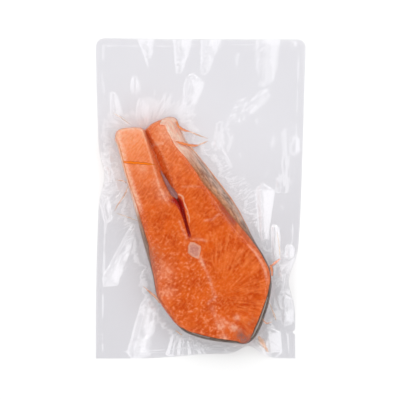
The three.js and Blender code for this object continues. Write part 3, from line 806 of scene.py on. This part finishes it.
# Spots of pale fat on the cut face: x, y, radius, share
PALE_SPOTS = [(16.6, -97.4, 2.0, 0.6), (25, -98.9, 1.7, 0.6), (28.1, -91.2, 1.5, 0.5),
              (18.1, -106.6, 2.0, 0.5), (-27.3, -56.6, 4.5, 0.3), (-25, -72, 3.5, 0.3),
              (-28, 3, 3.5, 0.35), (-44, 23, 2.5, 0.3), (-27, 50, 5.0, 0.35), (-33, 12, 3.0, 0.2)]
# Lines in the cut face, pale between its muscles, of blood, which is also painted shade where the belly
# cavity ends deep, and of grey: x and y along each, half-width and share
PALE_LINES = [
    ([(-0.4, -45.8), (4.2, -55), (7.3, -62.8), (10.4, -70.5), (12.3, -75)], 0.6, 0.12),
    ([(12.0, -75.2), (8.9, -77.6), (5.5, -80.2)], 0.6, 0.35),
    ([(-13.5, 8.9), (-7, 9.3), (-0.4, 8.9)], 0.6, 0.22),
    ([(-5.5, -31.2), (-1, -31.2), (4.5, -32.6)], 0.7, 0.3),
    ([(-37, 40.6), (-33, 41.6), (-29.3, 42.4)], 0.7, 0.45),
    ([(9, -84), (12, -92), (14, -99)], 1.4, 0.22),
    ([(16, -92), (24, -97), (30, -101)], 1.2, 0.25),
    ([(-16, -17.5), (-13.6, -23.9), (-10.4, -30.4)], 0.6, 0.35),
    ([(3, -17), (9, -16), (14, -12)], 0.6, 0.3),
    ([(-1.5, -44), (2, -50)], 1.1, 0.35),
]
BLOOD_AND_SHADE_LINES = [([(-20.8, -1.6), (-17, -3)], 1.7, 1.0), ([(17.3, -5), (21, -12), (25, -17)], 2.2, 0.35)]
GREY_LINES = [
    ([(31, -105), (34, -109), (38, -108)], 3.2, 0.9),
    ([(18.3, -7), (21.5, -12), (25, -17)], 2.4, 0.6),
    ([(38, -96), (41, -93)], 2.6, 0.25),
]


def from_line(x, y, route):
    """Distance from a broken line: the least of those from its straight pieces."""
    nearest = np.full(x.shape, np.inf)
    for (x0, y0), (x1, y1) in zip(route, route[1:]):
        ux, uy = x1 - x0, y1 - y0
        share = np.clip(((x - x0) * ux + (y - y0) * uy) / (ux * ux + uy * uy), 0, 1)
        nearest = np.minimum(nearest, np.hypot(x - x0 - ux * share, y - y0 - uy * share))
    return nearest


def lines_drawn(x, y, lines):
    """Sum of bells across the lines."""
    return sum(share * bell(from_line(x, y, route), half_width) for route, half_width, share in lines)


def flesh_marks(s, rings, side_rings, from_middle, off_cleft):
    """Shares of fat, of blood and painted shade, of grey, of frost flecks and painted sparkle (mottle), and
    of paler flap at each point, and where it lies across and along the fibres."""
    plan = rings[..., :2]
    along = along_fish(plan)
    across = across_fish(plan)
    side = every_spoke(np.ones(side_rings)) * s.half_width
    middle = np.vstack([side, from_middle])
    from_edge = np.vstack([0 * side, s.face - from_middle])
    off = np.vstack([side, off_cleft])
    right = s.side > 0
    x, y = plan[..., 0], plan[..., 1]
    pale = 0.12 * bell(from_edge - 1.0, 0.5)
    pale += 0.75 * bell(from_edge - 1.7, 1.3) * smooth(y, -14, -4) * ~right
    pale += 0.48 * bell(from_edge - 2.6, 0.7) * stretch(y, -68, -58, -42, -32) * right
    for place_x, place_y, size, share in PALE_SPOTS:
        pale += share * bell(np.hypot(x - place_x, y - place_y), size)
    pale += lines_drawn(x, y, PALE_LINES)
    pale += 0.35 * bell(off - s.lip, 0.7) * (1 - smooth(along, -46, -34)) * np.where(right, 0.2, 1)
    pale += 0.16 * bell(middle, 0.9) * stretch(along, 6, 12, 34, 50)
    # Painted shade: the cleft's middle and its right wall take blood's dark red where shade falls in them,
    # and the slit's dark red is its blood and also painted shade of its depth.
    in_cleft = stretch(along, CLEFT_START, -96, -44, -34)
    in_slit = stretch(along, -44, -36, -12, -7)
    blood_and_shade = in_cleft * np.where(right, 0.12 * bell(off - 1.6, 2.0), 0.2 * bell(off, 0.8))
    wide = 2.2 - 1.3 * smooth(along, -38, -20)
    blood_and_shade += in_slit * (1 - smooth(off, wide, wide + 0.8))
    blood_and_shade += lines_drawn(x, y, BLOOD_AND_SHADE_LINES)
    grey = lines_drawn(x, y, GREY_LINES) + 0.4 * bell(np.hypot(x + 38, y + 44), 6)
    flap = 0.8 * (1 - smooth(along, -104, -30)) * np.where(right, 0.65, 1)
    # Painted shade: the flap's paler tone is taken out along the cleft's right wall, leaving it deeper
    # orange.
    flap *= np.where(right, 1 - 0.8 * bell(off - 2, 2.5), 1)
    pale += 0.55 * (1 - smooth(along, -112, -84)) * ~right
    # The mottle says where the frost flecks, which are also painted sparkles, lie thick.
    mottle = 0.3 + 0.6 * (1 - smooth(across, -4, 8)) * smooth(along, -40, 10)
    mottle += 0.35 * (1 - smooth(along, -90, -50))
    dx, dy = x - FAN_CENTRE[0], y - FAN_CENTRE[1]
    reach = np.hypot(dx, dy)
    fan = smooth(across, 3, 12) * smooth(along, -16, 0)
    east, north = math.cos(GRAIN_LEAN), math.sin(GRAIN_LEAN)
    straight = np.stack([y * east - x * north, 0.22 * (x * east + y * north), 0 * x], axis=-1)
    spread = np.stack([np.arctan2(dy, dx) * 20, 0.1 * reach, 9 + 0 * x], axis=-1)
    grain = np.where(fan[..., None] > 0.5, spread, straight)
    here = np.where(fan > 0.5, 0.8 * smooth(reach, 6, 22), 0.6) * smooth(np.abs(fan - 0.5), 0, 0.2)
    shares = {"pale": pale, "blood_and_shade": blood_and_shade, "grey": grey, "flap": flap}
    return {**{key: np.clip(value, 0, 1) for key, value in shares.items()},
            "mottle": mottle, "grain": grain, "grain_here": here}


def make_skin(s):
    """The skin, from the right flap's corner round the back to the left flap's: a strip with a closed
    section that follows the side of the steak, thinner at both ends."""
    order = np.argsort(s.travel)
    start, end = (np.argmin(np.linalg.norm(s.foot[order] - place, axis=1))
                  for place in (SKIN_START, SKIN_STOP))
    chosen = order[start:end + 1]
    count = len(chosen)
    ends = np.minimum(np.arange(count), np.arange(count)[::-1]) / SKIN_TAPER
    covered, thick = skin_edge(s)
    thick = thick[chosen] * (0.25 + 0.75 * np.clip(ends, 0, 1))
    share = np.linspace(0, 1, 15)
    turn = np.concatenate([share, [1.012], share[::-1], [-0.01]])
    depth = np.concatenate([0 * share, [0.5], 0 * share + 1, [0.5]])
    upto = (covered - np.clip(0.5 * (1 - covered), 0, 0.06))[chosen]
    rise = turn[:, None] * upto * (0.5 + 0.5 * smooth(np.arange(count), 0, 7))
    lean = s.lean[chosen][None] * rise - WALL_BULGE * np.sin(np.pi * np.clip(rise, 0, 1))
    inset = lean + 0.22 + thick[None] * depth[:, None]
    plan = s.foot[chosen][None] - s.out[chosen][None] * inset[..., None]
    top = STEAK_THICKNESS - FACE_DOME - EDGE_DROP - 0.15
    height = SKIN_FOOT + (top - SKIN_FOOT) * rise
    rings = np.dstack([plan, height]).transpose(1, 0, 2)
    along = s.along[chosen]
    right = s.side[chosen] > 0
    belly = np.where(right, 1 - smooth(along, -78, -52), 1 - smooth(along, -48, -38))
    back = np.where(right, smooth(along, -12, 22),
                    0.55 * smooth(along, -42, -22) + 0.4 * smooth(along, -4, 16))
    travel = s.travel[chosen] + 0 * rise
    band = np.dstack([travel * 0.12, rise * 7, 0 * rise]).transpose(1, 0, 2)
    section = len(turn)
    values = {"belly": np.repeat(belly, section), "back": np.repeat(back, section), "band": band,
              "depth": np.tile(depth, count) * np.repeat(thick > 1.2, section),
              "rise": np.tile(np.clip(turn, 0, 1), count)}
    put_tubes("salmon_skin", rings[None], values, scaled_salmon_skin, flip=True)


def make_backbone():
    """The sawn backbone: a rounded diamond drawn out towards the back, with a dished top and a raised rim,
    down through the steak."""
    around = 64
    turn = np.linspace(0, 2 * np.pi, around, endpoint=False)
    uneven = 1 + 0.05 * np.sin(3 * turn + 1) + 0.03 * np.sin(5 * turn)
    radius = BONE_RADIUS * uneven / (np.abs(np.cos(turn)) ** 1.3 + np.abs(np.sin(turn)) ** 1.3) ** (1 / 1.3)
    across = radius * np.cos(turn) * 0.95
    along = radius * np.sin(turn) * 1.1 + 2.2 * smooth(np.sin(turn), 0.3, 1)
    x = BACKBONE[0] + along * math.sin(AXIS_LEAN) + across * math.cos(AXIS_LEAN)
    y = BACKBONE[1] - along * math.cos(AXIS_LEAN) + across * math.sin(AXIS_LEAN)
    plan = np.stack([x, y], axis=1)
    shares = np.concatenate([[0.9], [0.97], np.linspace(1, 0.05, 12)])
    rings = BACKBONE + (plan - BACKBONE) * shares[:, None, None]
    top = STEAK_THICKNESS + BACKBONE_RISE - 0.45
    dish = top - 0.25 * bell(shares - 0.25, 0.25) - 1.1 * smooth(shares, 0.72, 1.0)
    height = np.concatenate([[BONE_FOOT, top - 2], dish[2:]])
    points = np.dstack([rings, np.repeat(height[:, None], around, axis=1)])
    ring = np.repeat(smooth(shares, 0.5, 0.8) + smooth(shares, 0.84, 0.96), around)
    put_tubes("backbone", points[None], {"ring": ring}, sawn_fish_bone)


# Juice drawn out between the plies: points along each streak, its width at both ends and how thick it is
STREAKS = [
    ([(-67.4, 65.8), (-61, 62.2), (-55.1, 57.4)], 0.5, 0.8, 0.3),
    ([(-18.4, 59.2), (-17, 55.6), (-13.2, 52.8), (-8, 51.2)], 2.6, 1.4, 0.9),
    ([(-10, 51.8), (-6, 50.5), (1.9, 47.4), (5.8, 46.2)], 1.3, 0.5, 0.45),
    ([(-18.9, 43.5), (-12, 41.8), (-7, 40.8), (-2, 40.6)], 1.8, 2.6, 0.95),
    ([(-3.5, 40.5), (-0.4, 41.6), (5.8, 44.3)], 1.3, 0.6, 0.5),
    ([(-65.1, 14.2), (-60, 13.6), (-56.6, 11.9)], 0.5, 1.2, 0.5),
    ([(-55.8, 9.6), (-58.1, 3.5), (-65.1, -7.3), (-65.8, -9.6)], 1.3, 0.6, 0.5),
    ([(-65.1, -11.2), (-56, -14.4), (-48.1, -17.3)], 0.5, 0.7, 0.35),
    ([(-44.3, -67.4), (-39, -72), (-34.3, -75.8), (-31.2, -80.5)], 0.6, 2.8, 0.7),
    ([(-19.5, -101.4), (-14.2, -105.1)], 0.8, 1.4, 0.4),
    ([(58.9, -25.8), (60.5, -36), (61.2, -45.8)], 0.5, 0.8, 0.3),
    ([(61.4, -46.4), (57.5, -49.4), (54.3, -52)], 1.2, 2.4, 0.95),
    ([(53.5, -51), (54.8, -55), (54.9, -59.8)], 2.4, 2.0, 0.95),
    ([(52, -78.2), (55.8, -87.4), (58.1, -93.6)], 0.5, 1.3, 0.4),
    ([(47.4, -92), (50.4, -95.9), (55.1, -95.1)], 1.2, 0.8, 0.7),
    ([(44.3, -105.9), (48, -111.5), (52, -118.2)], 4.2, 2.8, 0.5),
    ([(-59.5, 28), (-50, 27.2), (-42, 26.6), (-35, 25.8)], 2.6, 1.4, 1.0),
    ([(-15.3, 54.2), (-10.8, 43.6), (-3.1, 34.6), (0.5, 30.4)], 0.6, 1.1, 0.5),
    ([(-1, 32.1), (10.8, 16.8), (27.1, -5.4), (38, -25.9)], 0.8, 0.6, 0.7),
    ([(-63, 44), (-59.5, 30), (-57, 20), (-53.5, 6)], 0.6, 0.8, 0.7),
]
# Thin linings of the belly cavity that show on the cut face, with the same columns but for the last, which
# is how mauve they are
MEMBRANES = [
    ([(-30.8, 21.6), (-27.3, 15), (-23.5, 8.1), (-19.6, 2.7), (-17.3, 0.4)], 0.8, 4.6, 1.0),
    ([(-17.3, 3.5), (-13.8, 1.4), (-12.6, -2.5)], 1.2, 1.0, 0.1),
    ([(-13.2, -1.6), (-11.2, -6.5), (-9.0, -11.5)], 1.1, 0.8, 0.1),
    ([(-10.4, -10.5), (-8.6, -14.5), (-8.9, -19.6)], 0.9, 0.6, 0.1),
]
STRIP_WIDTH = 0.62                          # half-width of a strip, of the widths above
JUICE_SINK, JUICE_DEPTH = 0.24, 0.12        # below the upper ply, and half its thickness
LINING_SINK, LINING_DEPTH = 0.3, 0.2


def film_above(plan, top):
    """Height of the upper ply over plan points: the mean of its four nearest points, near ones heavier."""
    flat = top.reshape(-1, 3)
    low, high = plan.min(axis=0) - 3, plan.max(axis=0) + 3
    flat = flat[((flat[:, :2] > low) & (flat[:, :2] < high)).all(axis=1)]
    gap = np.linalg.norm(flat[None, :, :2] - plan[:, None], axis=2)
    near = np.argsort(gap, axis=1)[:, :4]
    weight = 1 / (np.take_along_axis(gap, near, axis=1) + 0.05)
    return (flat[near, 2] * weight).sum(axis=1) / weight.sum(axis=1)


def make_strips(name, rows, top, sink, half_depth, shade):
    """Flat oval tubes under the upper ply that narrow to both ends, each along one of the rows' routes.
    They thin out to both sides and underneath, which the value thin says."""
    steps, sides = 40, 12
    share = np.linspace(0, 1, steps)
    turn = np.linspace(0, 2 * np.pi, sides, endpoint=False)
    tubes = []
    for k, (route, first_width, last_width, _) in enumerate(rows):
        middle, _ = curve_through(route, steps, False)
        middle = middle + 0.12 * np.sin(np.stack([share * 37 + k, share * 29 + 2 * k], axis=1))
        way = np.gradient(middle, axis=0)
        way /= np.linalg.norm(way, axis=1)[:, None]
        across = np.stack([-way[:, 1], way[:, 0]], axis=1)
        taper = np.sqrt(np.clip(np.sin(np.pi * (0.03 + 0.94 * share)), 0, 1))
        uneven = 1 + 0.15 * np.sin(share * 9 + 2 * k)
        width = STRIP_WIDTH * (first_width + (last_width - first_width) * share) * taper * uneven
        plan = middle[:, None] + across[:, None] * (width[:, None] * np.cos(turn))[..., None]
        height = film_above(plan.reshape(-1, 2), top).reshape(steps, sides)
        height = height - sink + half_depth * np.sin(turn) * taper[:, None]
        tubes.append(np.dstack([plan, height]))
    tone = np.repeat([row[-1] for row in rows], steps * sides)
    thin = np.tile(np.where(np.sin(turn) < -0.1, 1, np.cos(turn) ** 2), steps * len(rows))
    put_tubes(name, np.stack(tubes), {"tone": tone, "thin": thin}, shade, flip=True)


# The studio, in metres: the floor, the lights' places and radiances, and the camera's distance and view
FLOOR_HALF = 4.0
FLOOR_DROP = 0.0002
SOFTBOX_SIZE = (1.9, 1.35)
SOFTBOXES = [
    ("softbox_right", (1.1, 0.2, 1.2), 1.7),
    ("softbox_left", (-1.1, 0.1, 1.2), 1.6),
    ("softbox_top", (-0.1, 1.2, 1.2), 1.42),
    ("softbox_front", (0.1, -1.2, 1.2), 1.28),
]
SURROUND = 0.19
CAMERA_DISTANCE = 3.0
VIEW_WIDTH = 0.308
VIEW_CENTRE = (-0.4 * MM, -1.2 * MM)
SENSOR = 36


def matte_white_sheet(tree):
    """A matte white sheet: plain, without gloss, so that the pack's own highlights stand out."""
    return add(tree, "BsdfDiffuse", {"Color": srgb("f7f7f7")})


def make_floor():
    """A plain white sheet, large enough to fill every view."""
    mesh = bpy.data.meshes.new("floor")
    corners = FLOOR_HALF * np.array([(-1, -1, 0), (1, -1, 0), (1, 1, 0), (-1, 1, 0)])
    mesh.from_pydata(corners, [], [(0, 1, 2, 3)])
    floor = bpy.data.objects.new("floor", mesh)
    floor.location.z = -FLOOR_DROP
    bpy.context.scene.collection.objects.link(floor)
    mesh.materials.append(make_material(matte_white_sheet))


def make_softbox(name, place, radiance):
    """A soft light aimed at the pack, level along its width. Power is radiance x area x pi."""
    light = bpy.data.lights.new(name, "AREA")
    light.shape = "RECTANGLE"
    light.size, light.size_y = SOFTBOX_SIZE
    light.energy = radiance * light.size * light.size_y * math.pi
    lamp = bpy.data.objects.new(name, light)
    lamp.location = place
    aim = np.array(place) / np.linalg.norm(place)
    lamp.rotation_euler = (math.acos(aim[2]), 0, math.atan2(aim[0], -aim[1]))
    bpy.context.scene.collection.objects.link(lamp)


def make_studio():
    """Soft lights on four sides and a pale surround, with a camera straight above as in the photo."""
    scene = bpy.context.scene
    for name, place, radiance in SOFTBOXES:
        make_softbox(name, place, radiance)
    world = bpy.data.worlds.new("surround")
    world.use_nodes = True
    world.node_tree.nodes["Background"].inputs["Color"].default_value = srgb("ffffff")
    world.node_tree.nodes["Background"].inputs["Strength"].default_value = SURROUND
    scene.world = world
    scene.view_settings.view_transform = "Standard"
    scene.cycles.transparent_max_bounces = 24
    camera = bpy.data.cameras.new("camera")
    camera.sensor_width = SENSOR
    camera.lens = SENSOR * CAMERA_DISTANCE / VIEW_WIDTH
    camera.clip_end = 50
    lens = bpy.data.objects.new("camera", camera)
    lens.location = (*VIEW_CENTRE, CAMERA_DISTANCE)
    scene.collection.objects.link(lens)
    scene.camera = lens


make_studio()
make_floor()
spokes = spokes_around(AROUND)
upper_ply = make_bag(spokes)
make_flesh(spokes)
make_skin(spokes)
make_backbone()
make_strips("juice_streaks", STREAKS, upper_ply, JUICE_SINK, JUICE_DEPTH, salmon_juice)
make_strips("belly_membrane", MEMBRANES, upper_ply, LINING_SINK, LINING_DEPTH, belly_membrane)
